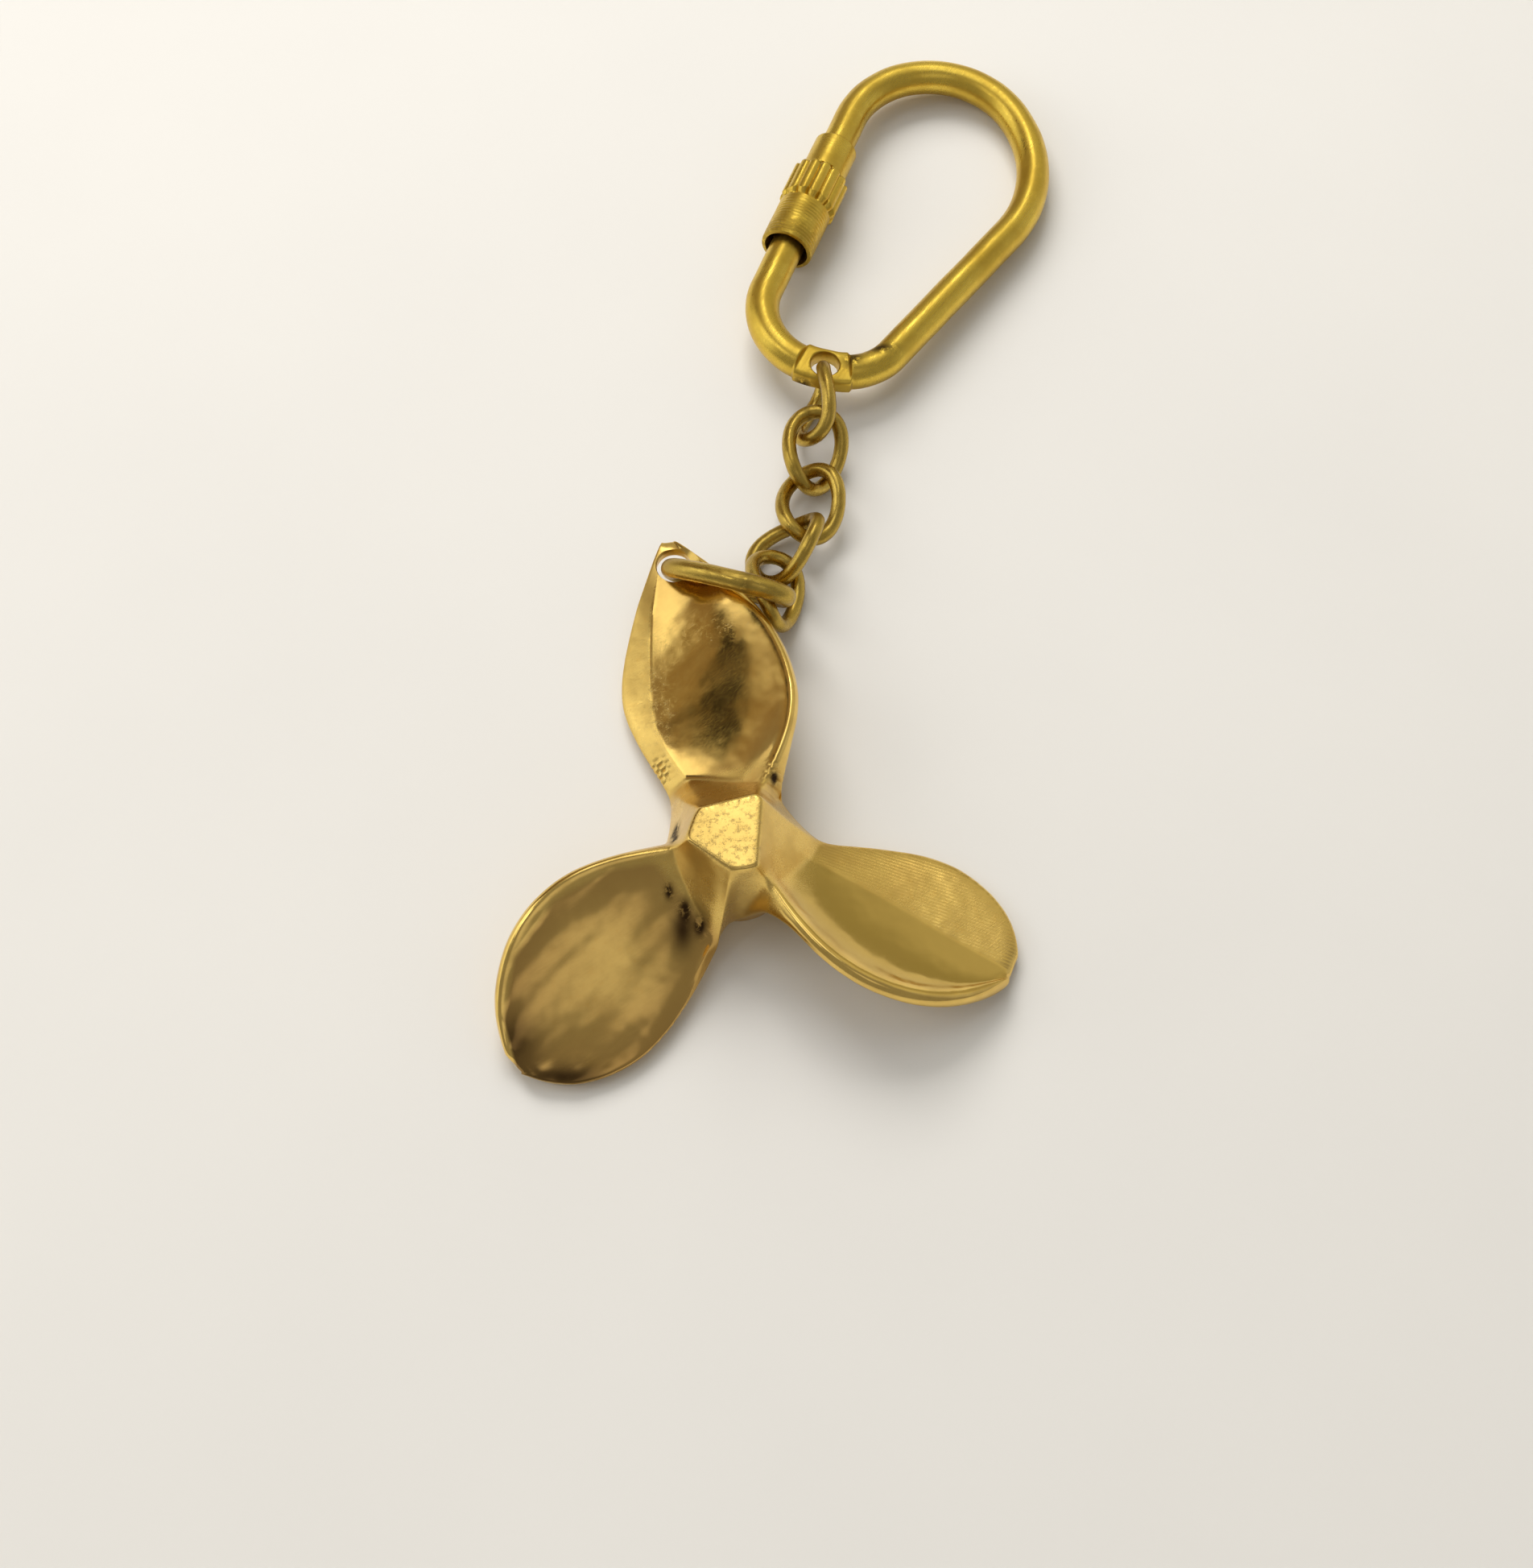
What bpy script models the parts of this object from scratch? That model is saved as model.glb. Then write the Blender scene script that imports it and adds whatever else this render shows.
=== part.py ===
"""Brass ship's-propeller key chain: a three-blade propeller casting, a jump ring, five chain links
and a screw-gate key ring with its sleeve. Frame: origin on the propeller's axis at the resting plane,
+Z up along the axis, +Y from the propeller towards the key ring. Lengths below are in millimetres and
become metres where each mesh is made."""

import math

import bpy
import numpy as np
from mathutils import Euler, Matrix, Vector

MM = 0.001

# Propeller casting
HUB_TOP_Z = 10.0
HUB_TOP_DISHING = 0.12
HUB_FOOT_RADIUS = 4.6
ROOT_THICKNESS = 2.6
BLADE_THICKNESS = 1.35
HOLLOW_DEPTH = 0.75
RIM_WIDTH = 1.3
RIM_ROUNDING = 0.25
RIM_BACK_CHAMFER = 0.35
LOW_EDGE_ROUNDING = 0.2
BLADE_CLEARANCE = 0.05
FOOT_RISE = 1.6
BLADE_STATIONS = 9
CREASE_COLUMN = 5
CREASE_WEIGHT = 0.9
ROOT_CREASE_WEIGHT = 0.45
BROW_WEIGHT = 0.35
HOLE_DIAMETER = 3.1
LUG_THICKNESS = 1.05

# Hub top: where it faces each blade, from the side of the blade's raised edge to its low edge
HUB_TOP_FACES = {
    "a": ((1.7, 2.8), (-2.9, 1.6)),
    "b": ((-3.8, -1.2), (-0.1, -3.9)),
    "c": ((2.0, -3.5), (2.4, 2.3)),
}
# Foot of the hub between two blades: after blade "a" anticlockwise comes "b", then "c"
HUB_NOTCHES = {"a": (-5.9, 2.3), "b": (-0.2, -5.0), "c": (4.6, 5.0)}
NEXT_BLADE = {"a": "b", "b": "c", "c": "a"}

# Blade lines in the blade's own axes: outwards, anticlockwise, up
RAISED_EDGE = [
    (4.3, -3.1, 7.9), (8.9, -6.4, 7.9), (13.8, -8.0, 7.4), (19.0, -7.4, 5.6), (22.9, -4.9, 3.4), (24.7, -1.9, 1.9),
]
LOW_EDGE = [
    (6.3, 4.3, 1.6), (11.4, 5.8, 1.2), (16.5, 6.4, 1.2), (20.8, 5.1, 1.2), (23.7, 2.7, 1.25), (24.8, 0.2, 1.4),
]
LUG_RAISED_EDGE = [
    (4.1, -3.5, 7.9), (8.6, -6.7, 7.9), (12.8, -7.9, 7.6), (19.0, -7.4, 6.2), (25.2, -4.9, 4.6), (30.9, -0.9, 3.5),
]
LUG_LOW_EDGE = [
    (7.1, 4.4, 1.6), (11.8, 5.9, 1.3), (17.0, 6.9, 1.3), (23.3, 4.7, 2.2), (27.4, 2.4, 3.2), (31.0, 0.2, 3.5),
]
BLADES = {
    "a": {
        "azimuth": 102.0,
        "lug": True,
        "raised": LUG_RAISED_EDGE,
        "low": LUG_LOW_EDGE,
        "crease": [(7.9, 2.5, 3.0), (12.3, 4.1, 2.6), (16.0, 4.0, 2.4), (23.0, 2.7, 3.0), (30.9, 0.0, 3.5)],
    },
    "b": {
        "azimuth": 226.5,
        "raised": RAISED_EDGE,
        "low": LOW_EDGE,
        "crease": [(6.6, 3.4, 3.0), (10.6, 4.4, 2.6), (16.2, 4.1, 1.9), (21.3, 3.2, 1.5), (24.7, 0.0, 1.5)],
    },
    "c": {
        "azimuth": -19.0,
        "raised": RAISED_EDGE,
        "low": LOW_EDGE,
        "crease": [(6.0, 1.9, 3.0), (12.5, 0.9, 2.4), (19.0, -0.5, 1.9), (24.7, -1.6, 1.6)],
    },
}
HOLE_PLACE = (28.1, -0.35, 3.5)
HOLE_SIDES = 20
CUTTER_LENGTH = 8.0

# Jump ring and chain links. A pose is the piece's centre and its turns about X, Y and Z in degrees;
# a joint is the place of the hinge, which lies on the centre line of the piece before it.
JUMP_RING_WIRE = 1.85
JUMP_RING_SIZE = (12.85, 7.60)
JUMP_RING_POSE = ((-0.72, 25.63, 3.77), (112.0, -13.1, -21.7))

LINK_WIRE = 1.35
LINK_SIZE = (8.70, 6.39)
LINK_TWIST = -0.6
WIRE_RING_STATIONS = 32
WIRE_RING_SIDES = 10
HOLE_JOINT = (-5.6, 27.5, 2.7)
LINKS = {
    "link_5": (((3.42, 25.86, 2.31), (138.3, -11.8, -90.0)), (2.88, 25.17, 3.9)),
    "link_4": (((4.49, 30.07, 2.13), (28.5, 22.7, -142.3)), (3.79, 29.4, 1.46)),
    "link_3": (((6.61, 34.79, 2.07), (0.3, -3.3, -98.0)), (6.67, 32.77, 2.46)),
    "link_2": (((7.01, 40.13, 2.53), (-23.6, 12.8, -97.9)), (6.45, 36.58, 1.79)),
    "link_1": (((7.32, 44.63, 3.02), (-111.6, -0.3, -100.1)), (7.31, 43.7, 3.34)),
}

# Key ring: a wire bent in its plane, from the sleeve's leg round the far end, past the eye and back.
# Bends are straight lengths and (angle in degrees, radius).
KEY_RING_WIRE = 3.2
KEY_RING_SIDES = 12
KEY_RING_STEP = 1.45
KEY_RING_END_TAPER = 0.6
KEY_RING_HEADING = 68.4
KEY_RING_BENDS = [13.02, (127.6, 8.87), (69.5, 13.12), 18.35, (64.0, 5.72), 1.2, (98.65, 6.61), 6.89]
KEY_RING_EYE = (8.0, 48.6, 3.0)
KEY_RING_LOW_WAY = 9.3
KEY_RING_DIP = 3.2
KEY_RING_JOINT = (7.96, 48.25, 3.0)
EYE_HOLE_DIAMETER = 2.7
EYE_THICKNESS = 1.9
EYE_WIDTH = 3.7
EYE_LENGTH = 4.4

SLEEVE_LENGTH = 13.4
SLEEVE_SIDES = 28
SLEEVE_SHOULDER = 0.3
SLEEVE_STEPS = (5.2, 9.2)
SLEEVE_DIAMETERS = (5.1, 5.6, 4.3)
SLEEVE_BORES = (4.3, 3.7)
SLEEVE_BELOW_GATE = 2.0
GATE_GAP = 2.5


def clear_scene():
    for obj in list(bpy.data.objects):
        bpy.data.objects.remove(obj)


clear_scene()


def brass(name, colour, roughness):
    material = bpy.data.materials.new(name)
    material.use_nodes = True
    shader = material.node_tree.nodes["Principled BSDF"]
    shader.inputs["Base Color"].default_value = (*colour, 1.0)
    shader.inputs["Metallic"].default_value = 1.0
    shader.inputs["Roughness"].default_value = roughness
    return material


def add_object(name, points, faces, material, origin=(0.0, 0.0, 0.0)):
    """A smooth-shaded object from points in millimetres, with its origin where its joint is."""
    origin = Vector(origin) * MM
    mesh = bpy.data.meshes.new(name)
    mesh.from_pydata([Vector(p) * MM - origin for p in points], [], faces)
    mesh.validate()
    mesh.materials.append(material)
    mesh.shade_smooth()
    obj = bpy.data.objects.new(name, mesh)
    obj.location = origin
    bpy.context.scene.collection.objects.link(obj)
    return obj


def cut(obj, cutter):
    """Cuts the cutter's shape out of the object with a Boolean that stays on it."""
    cutter.hide_render = True
    cutter.display_type = "WIRE"
    modifier = obj.modifiers.new("cut_" + cutter.name, "BOOLEAN")
    modifier.operation = "DIFFERENCE"
    modifier.solver = "EXACT"
    modifier.object = cutter


def curve_through(points, count):
    """Evenly spaced points on a Catmull-Rom curve through the given ones."""
    knots = np.array(points, float)
    knots = np.vstack([2 * knots[0] - knots[1], knots, 2 * knots[-1] - knots[-2]])
    fine = []
    for k in range(1, len(knots) - 2):
        p0, p1, p2, p3 = knots[k - 1 : k + 3]
        for t in np.linspace(0.0, 1.0, 24, endpoint=False):
            fine.append(
                p1
                + 0.5 * t * (p2 - p0)
                + t * t * (p0 - 2.5 * p1 + 2 * p2 - 0.5 * p3)
                + t**3 * (1.5 * p1 - 0.5 * p0 - 1.5 * p2 + 0.5 * p3)
            )
    fine.append(knots[-2])
    fine = np.array(fine)
    along = np.r_[0.0, np.cumsum(np.linalg.norm(np.diff(fine, axis=0), axis=1))]
    wanted = np.linspace(0.0, along[-1], count)
    return np.stack([np.interp(wanted, along, fine[:, k]) for k in range(3)], axis=1)


def tube(centres, width, height, sides, normal, closed, roundness=1.0):
    """Points and faces of a wire with an elliptical section, swept along its centre line. normal gives the
    direction of the section's height. Width, height and roundness (1 for an ellipse, less for a section
    with flatter sides) are numbers, or one number for each centre."""
    centres = np.array(centres, float)
    count = len(centres)
    width = np.broadcast_to(width, count)
    height = np.broadcast_to(height, count)
    roundness = np.broadcast_to(roundness, count)
    if closed:
        tangents = np.roll(centres, -1, axis=0) - np.roll(centres, 1, axis=0)
    else:
        tangents = np.gradient(centres, axis=0)
    tangents /= np.linalg.norm(tangents, axis=1)[:, None]
    across = np.cross(np.broadcast_to(normal, tangents.shape), tangents)
    across /= np.linalg.norm(across, axis=1)[:, None]
    up = np.cross(tangents, across)
    points = []
    for k in range(count):
        for side in range(sides):
            turn = 2 * math.pi * (side + 0.5) / sides
            out, rise = math.cos(turn), math.sin(turn)
            out = math.copysign(abs(out) ** roundness[k], out)
            rise = math.copysign(abs(rise) ** roundness[k], rise)
            points.append(centres[k] + 0.5 * width[k] * out * across[k] + 0.5 * height[k] * rise * up[k])
    faces = []
    for k in range(count if closed else count - 1):
        here, there = k * sides, (k + 1) % count * sides
        for side in range(sides):
            after = (side + 1) % sides
            faces.append((here + side, here + after, there + after, there + side))
    if not closed:
        faces.append(tuple(reversed(range(sides))))
        faces.append(tuple(range((count - 1) * sides, count * sides)))
    return points, faces


# Propeller


def blade_section(raised, crease, low):
    """Top and bottom points across the blade at one station, from its raised edge to its low edge."""
    face = crease - raised
    face_normal = np.cross([1.0, 0.0, 0.0], face)
    face_normal /= np.linalg.norm(face_normal)
    facet = low - crease
    facet_normal = np.cross([1.0, 0.0, 0.0], facet)
    facet_normal /= np.linalg.norm(facet_normal)
    rim_share = min(0.3, RIM_WIDTH / np.linalg.norm(face))
    hollow = HOLLOW_DEPTH * min(1.0, np.linalg.norm(face) / 9.0)
    top, normals = [], []
    for share, depth in (
        (0.0, RIM_ROUNDING),
        (0.4 * rim_share, 0.0),
        (rim_share, 0.15),
        (0.35, hollow),
        (0.68, 0.8 * hollow),
        (1.0, 0.0),
    ):
        top.append(raised + share * face - depth * face_normal)
        normals.append(face_normal)
    for share, depth in ((0.5, 0.0), (0.85, 0.0), (1.0, LOW_EDGE_ROUNDING)):
        top.append(crease + share * facet - depth * facet_normal)
        normals.append(facet_normal)
    return np.array(top), np.array(normals)


def blade_rows(blade):
    """Rows of top points and bottom points from the blade's root to its tip, in the propeller's axes."""
    raised = curve_through(blade["raised"], BLADE_STATIONS)
    crease = curve_through(blade["crease"], BLADE_STATIONS)
    low = curve_through(blade["low"], BLADE_STATIONS)
    turn = math.radians(blade["azimuth"])
    axes = np.array([[math.cos(turn), math.sin(turn), 0], [-math.sin(turn), math.cos(turn), 0], [0, 0, 1]])
    rows = []
    for station in range(BLADE_STATIONS):
        top, normals = blade_section(raised[station], crease[station], low[station])
        thickness = BLADE_THICKNESS
        if station == 0:
            thickness = ROOT_THICKNESS
        elif "lug" in blade and station >= BLADE_STATIONS - 3:
            thickness = LUG_THICKNESS
        bottom = top - thickness * normals
        bottom[0] += RIM_BACK_CHAMFER * normals[0]
        bottom[:, 2] = np.maximum(bottom[:, 2], BLADE_CLEARANCE)
        rows.append((top @ axes, bottom @ axes))
    return rows


def lerp(a, b, share):
    return np.asarray(a, float) + share * (np.asarray(b, float) - np.asarray(a, float))


def hub_ring(rows):
    """The ring of points at the blade roots and in the notches between them, anticlockwise from blade a."""
    ring = []
    for name in "abc":
        top, bottom = rows[name][0]
        after = rows[NEXT_BLADE[name]][0]
        notch = HUB_NOTCHES[name]
        ring += [("blade", name, j, top[j], bottom[j]) for j in range(len(top))]
        foot_top = np.array([*notch, FOOT_RISE])
        foot_bottom = np.array([*lerp(notch, (0.0, 0.0), 0.06), BLADE_CLEARANCE])
        ring.append(("notch", name, 0, foot_top, foot_bottom))
        rise_top = lerp(foot_top, after[0][0], 0.55)
        rise_bottom = lerp(foot_bottom, after[1][0], 0.5)
        ring.append(("notch", name, 1, rise_top, rise_bottom))
    return ring


def hub_top_point(entry):
    """Where a point of the hub ring meets the hub's top face."""
    kind, name, j = entry[:3]
    if kind == "blade":
        start, end = HUB_TOP_FACES[name]
        across = lerp(start, end, (0.0, 0.08, 0.2, 0.38, 0.55, 0.72, 0.85, 0.94, 1.0)[j])
    else:
        start = HUB_TOP_FACES[name][1]
        end = HUB_TOP_FACES[NEXT_BLADE[name]][0]
        across = lerp(start, end, (1 + j) / 3.0) * 1.04
    return np.array([*across, HUB_TOP_Z])


def hub_foot_point(entry):
    bottom = entry[4]
    angle = math.atan2(bottom[1], bottom[0])
    return np.array([HUB_FOOT_RADIUS * math.cos(angle), HUB_FOOT_RADIUS * math.sin(angle), 0.0])


def build_propeller(material):
    rows = {name: blade_rows(blade) for name, blade in BLADES.items()}
    ring = hub_ring(rows)
    size = len(ring)
    points, faces, creases = [], [], []

    def add_ring(made):
        points.extend(made)
        return list(range(len(points) - len(made), len(points)))

    def bridge(inner, outer):
        for k in range(size):
            after = (k + 1) % size
            faces.append((inner[k], outer[k], outer[after], inner[after]))

    def crease_loop(loop, weight):
        creases.extend((loop[k], loop[(k + 1) % len(loop)], weight) for k in range(len(loop)))

    tops = [hub_top_point(entry) for entry in ring]
    centre = np.mean(tops, axis=0)
    cap = add_ring([lerp(p, centre, 0.16) for p in tops])
    brow = add_ring([p - np.array([0.0, 0.0, HUB_TOP_DISHING]) for p in tops])
    neck = add_ring([lerp(p, entry[3], 0.5) - np.array([0, 0, 0.5]) for p, entry in zip(tops, ring)])
    root_top = add_ring([entry[3] for entry in ring])
    root_bottom = add_ring([entry[4] for entry in ring])
    feet = [hub_foot_point(entry) for entry in ring]
    waist = add_ring([lerp(foot, entry[4], 0.5) * (0.97, 0.97, 1.0) for foot, entry in zip(feet, ring)])
    foot = add_ring(feet)
    faces.append(tuple(cap))
    bridge(cap, brow)
    bridge(brow, neck)
    bridge(neck, root_top)
    bridge(root_bottom, waist)
    bridge(waist, foot)
    faces.append(tuple(reversed(foot)))
    crease_loop(brow, BROW_WEIGHT)
    crease_loop(foot, 1.0)

    first = {name: next(k for k, e in enumerate(ring) if e[:3] == ("blade", name, 0)) for name in "abc"}
    for name in "abc":
        columns = len(rows[name][0][0])
        start = first[name]
        upper = [root_top[start : start + columns]]
        lower = [root_bottom[start : start + columns]]
        for top, bottom in rows[name][1:]:
            upper.append(add_ring(list(top)))
            lower.append(add_ring(list(bottom)))
        for up_here, up_next, low_here, low_next in zip(upper, upper[1:], lower, lower[1:]):
            for j in range(columns - 1):
                faces.append((up_here[j], up_next[j], up_next[j + 1], up_here[j + 1]))
                faces.append((low_here[j], low_here[j + 1], low_next[j + 1], low_next[j]))
            for j, way in ((0, 1), (columns - 1, -1)):
                side = (up_here[j], low_here[j], low_next[j], up_next[j])
                faces.append(side[::way])
            creases.append((up_here[CREASE_COLUMN], up_next[CREASE_COLUMN], CREASE_WEIGHT))
        for j in range(columns - 1):
            faces.append((upper[-1][j], lower[-1][j], lower[-1][j + 1], upper[-1][j + 1]))
            creases.append((upper[0][j], upper[0][j + 1], ROOT_CREASE_WEIGHT))
    blades_end = {name: first[name] + len(rows[name][0][0]) - 1 for name in "abc"}
    for name in "abc":
        k = blades_end[name]
        for step in range(3):
            here, after = (k + step) % size, (k + step + 1) % size
            faces.append((root_top[here], root_bottom[here], root_bottom[after], root_top[after]))

    obj = add_object("propeller", points, faces, material)
    weights = {tuple(sorted((a, b))): weight for a, b, weight in creases}
    attribute = obj.data.attributes.new("crease_edge", "FLOAT", "EDGE")
    for edge in obj.data.edges:
        attribute.data[edge.index].value = weights.get(tuple(sorted(edge.vertices)), 0.0)
    smooth = obj.modifiers.new("smooth", "SUBSURF")
    smooth.levels = smooth.render_levels = 1

    turn = math.radians(BLADES["a"]["azimuth"])
    out, across, height = HOLE_PLACE
    place = Vector((
        out * math.cos(turn) - across * math.sin(turn),
        out * math.sin(turn) + across * math.cos(turn),
        height,
    ))
    drill = add_rod("blade_hole_cutter", place, HOLE_DIAMETER, CUTTER_LENGTH, HOLE_SIDES, material)
    cut(obj, drill)
    return obj


def add_rod(name, centre, diameter, length, sides, material):
    """A plain upright round rod."""
    ends = [Vector(centre) - Vector((0, 0, length / 2)), Vector(centre) + Vector((0, 0, length / 2))]
    points, faces = tube(ends, diameter, diameter, sides, (0.0, 1.0, 0.0), False)
    return add_object(name, points, faces, material)


# Rings and links


def oval(length, width, twist, count):
    """Centre line of a link: an oval whose ends are twisted opposite ways about its long axis."""
    turns = 2 * math.pi * np.arange(count) / count
    across = [length / 2 * np.cos(turns), width / 2 * np.sin(turns)]
    return np.stack([*across, twist * np.sin(2 * turns)], axis=1)


def build_wire_ring(name, wire, size, twist, pose, joint, material):
    """A closed ring of round wire: the jump ring, or one link of the chain."""
    centre, turns = pose
    line = oval(size[0] - wire, size[1] - wire, twist, WIRE_RING_STATIONS)
    points, faces = tube(line, wire, wire, WIRE_RING_SIDES, (0.0, 0.0, 1.0), True)
    turned = Euler([math.radians(turn) for turn in turns]).to_matrix()
    points = [turned @ Vector(p) + Vector(centre) for p in points]
    return add_object(name, points, faces, material, joint)


# Key ring


def bent_wire(heading, bends, where):
    """Points along a wire bent in its plane. bends lists straight lengths and (angle, radius)."""
    points = []
    for wanted in where:
        place, angle, left = np.zeros(2), math.radians(heading), wanted
        for bend in bends:
            if isinstance(bend, tuple):
                turn, radius = math.radians(bend[0]), bend[1]
                part = min(left, turn * radius)
                centre = place + radius * np.array([math.sin(angle), -math.cos(angle)])
                angle -= part / radius
                place = centre + radius * np.array([-math.sin(angle), math.cos(angle)])
            else:
                part = min(left, bend)
                place = place + part * np.array([math.cos(angle), math.sin(angle)])
            left -= part
        points.append([*place, 0.0])
    return np.array(points)


def bent_length(bends):
    return sum(math.radians(bend[0]) * bend[1] if isinstance(bend, tuple) else bend for bend in bends)


def key_ring_plane():
    """Puts the plane that the wire is bent in through the eye, dipping a little to one side."""
    low_way = math.radians(KEY_RING_LOW_WAY)
    axis = Vector((-math.sin(low_way), math.cos(low_way), 0.0))
    return Matrix.Translation(Vector(KEY_RING_EYE)) @ Matrix.Rotation(math.radians(KEY_RING_DIP), 4, axis)


def key_ring_stations():
    """Where along the wire its sections stand, closer together at the eye, and how far the eye is."""
    eye = bent_length(KEY_RING_BENDS[:5]) + KEY_RING_BENDS[5] / 2
    total = bent_length(KEY_RING_BENDS)
    steps = list(np.linspace(0.0, total, round(total / KEY_RING_STEP)))
    half = EYE_LENGTH / 2
    steps = [s for s in steps if abs(s - eye) > half + 0.8]
    steps += [eye + way * step for way in (-1, 1) for step in (half + 0.5, half - 0.1, half * 0.5)]
    return sorted(steps + [eye]), eye


def build_key_ring(material):
    stations, eye = key_ring_stations()
    centres = bent_wire(KEY_RING_HEADING, KEY_RING_BENDS, stations)
    eye_place = bent_wire(KEY_RING_HEADING, KEY_RING_BENDS, [eye])
    centres -= eye_place[0]
    flattened = np.array([abs(s - eye) < EYE_LENGTH / 2 for s in stations])
    width = np.where(flattened, EYE_WIDTH, KEY_RING_WIRE)
    height = np.where(flattened, EYE_THICKNESS, KEY_RING_WIRE)
    width[[0, -1]] = height[[0, -1]] = KEY_RING_WIRE - KEY_RING_END_TAPER
    roundness = np.where(flattened, 0.5, 1.0)
    points, faces = tube(centres, width, height, KEY_RING_SIDES, (0.0, 0.0, 1.0), False, roundness)
    placed = key_ring_plane()
    ring = add_object("key_ring", [placed @ Vector(p) for p in points], faces, material, KEY_RING_JOINT)
    drill = add_rod("eye_hole_cutter", KEY_RING_EYE, EYE_HOLE_DIAMETER, CUTTER_LENGTH, HOLE_SIDES, material)
    cut(ring, drill)
    return ring


def sleeve_frame():
    """Place and direction of the sleeve's axis at its mouth, towards the far end of the ring."""
    _, eye = key_ring_stations()
    eye_place = bent_wire(KEY_RING_HEADING, KEY_RING_BENDS, [eye])
    heading = math.radians(KEY_RING_HEADING)
    along = np.array([math.cos(heading), math.sin(heading), 0.0])
    mouth = -(GATE_GAP + SLEEVE_BELOW_GATE) * along - eye_place[0]
    placed = key_ring_plane()
    return placed @ Vector(mouth), (placed.to_3x3() @ Vector(along)).normalized()


def build_sleeve(material):
    """A turned tube: open mouth, gripping band and narrow neck, bored through in two steps."""
    mouth_radius, band_radius, neck_radius = (d / 2 for d in SLEEVE_DIAMETERS)
    wide_bore, narrow_bore = (d / 2 for d in SLEEVE_BORES)
    tube_end, band_end = SLEEVE_STEPS
    profile = [
        (0.0, wide_bore), (0.0, mouth_radius - 0.1), (0.1, mouth_radius), (tube_end, mouth_radius),
        (tube_end + SLEEVE_SHOULDER, band_radius), (band_end, band_radius),
        (band_end + SLEEVE_SHOULDER, neck_radius),
        (SLEEVE_LENGTH - 0.15, neck_radius), (SLEEVE_LENGTH, neck_radius - 0.15),
        (SLEEVE_LENGTH, narrow_bore), (tube_end + 0.6, narrow_bore), (tube_end, wide_bore),
    ]
    mouth, along = sleeve_frame()
    across = along.cross(Vector((0.0, 0.0, 1.0))).normalized()
    up = across.cross(along)
    points, faces = [], []
    for side in range(SLEEVE_SIDES):
        turn = 2 * math.pi * side / SLEEVE_SIDES
        outwards = math.cos(turn) * across + math.sin(turn) * up
        points.extend(mouth + s * along + radius * outwards for s, radius in profile)
    for side in range(SLEEVE_SIDES):
        here, there = side * len(profile), (side + 1) % SLEEVE_SIDES * len(profile)
        for k in range(len(profile)):
            after = (k + 1) % len(profile)
            faces.append((here + k, here + after, there + after, there + k))
    return add_object("sleeve", points, faces, material, mouth)


bright = (0.78, 0.57, 0.22)
olive = (0.62, 0.46, 0.19)
build_propeller(brass("polished_cast_brass", bright, 0.22))
ring_brass = brass("jump_ring_brass", olive, 0.3)
build_wire_ring("jump_ring", JUMP_RING_WIRE, JUMP_RING_SIZE, 0.0, JUMP_RING_POSE, HOLE_JOINT, ring_brass)
for name, (pose, joint) in LINKS.items():
    build_wire_ring(name, LINK_WIRE, LINK_SIZE, LINK_TWIST, pose, joint, brass(name + "_brass", olive, 0.3))
build_key_ring(brass("key_ring_brass", bright, 0.3))
build_sleeve(brass("sleeve_brass", bright, 0.3))
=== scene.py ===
"""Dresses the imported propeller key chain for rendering: finer meshes of the same pieces, with worn brass
materials, on a pale floor under soft studio light. Lengths are in millimetres until a mesh is made."""

import math

import bpy
import numpy as np
from mathutils import Euler, Matrix, Vector, noise


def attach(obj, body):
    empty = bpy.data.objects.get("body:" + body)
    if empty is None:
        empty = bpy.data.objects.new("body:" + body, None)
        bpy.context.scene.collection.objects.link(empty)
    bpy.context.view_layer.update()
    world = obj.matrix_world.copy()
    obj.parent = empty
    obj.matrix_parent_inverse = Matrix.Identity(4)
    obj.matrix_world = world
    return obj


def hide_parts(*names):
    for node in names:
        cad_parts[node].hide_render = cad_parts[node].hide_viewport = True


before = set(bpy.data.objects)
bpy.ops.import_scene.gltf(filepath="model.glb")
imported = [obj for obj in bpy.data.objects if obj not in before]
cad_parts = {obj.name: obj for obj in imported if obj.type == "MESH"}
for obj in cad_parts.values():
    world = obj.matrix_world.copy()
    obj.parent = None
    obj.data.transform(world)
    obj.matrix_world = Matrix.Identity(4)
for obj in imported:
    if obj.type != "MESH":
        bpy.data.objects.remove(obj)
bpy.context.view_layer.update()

MM = 0.001

# Propeller casting
HUB_TOP_Z = 10.0
HUB_FOOT_RADIUS = 4.6
ROOT_THICKNESS = 2.6
BLADE_THICKNESS = 1.35
HOLLOW_DEPTH = 0.75
RIM_WIDTH = 1.3
BLADE_STATIONS = 9
HOLE_DIAMETER = 3.1
LUG_THICKNESS = 1.05
LUG_STATIONS = 3
LOWEST_BLADE_Z = 0.05
CREASE_COLUMN = 5
NOTCH_Z = 1.6
NOTCH_UNDERCUT = 0.06
HUB_BROW_DROP = 0.12
HUB_BROW_CREASE = 0.35
HUB_CAP_INSET = 0.16
HUB_NECK_DROP = 0.5
HUB_WAIST = 0.97
HUB_TOP_BULGE = 1.04
ROOT_CREASE = 0.45
CHAMFER = 0.12
SHARP_ANGLE = 17.0
SUBDIVISIONS = 4
# Unevenness of the casting: how high, how wide and the seed of its noise
CAST_WAVES = [(0.035, 3.2, 5.0), (0.012, 0.9, 9.0)]

# Hub top: where it faces each blade, from the side of the blade's raised edge to its low edge
HUB_TOP_FACES = {
    "a": ((1.7, 2.8), (-2.9, 1.6)),
    "b": ((-3.8, -1.2), (-0.1, -3.9)),
    "c": ((2.0, -3.5), (2.4, 2.3)),
}
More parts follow.
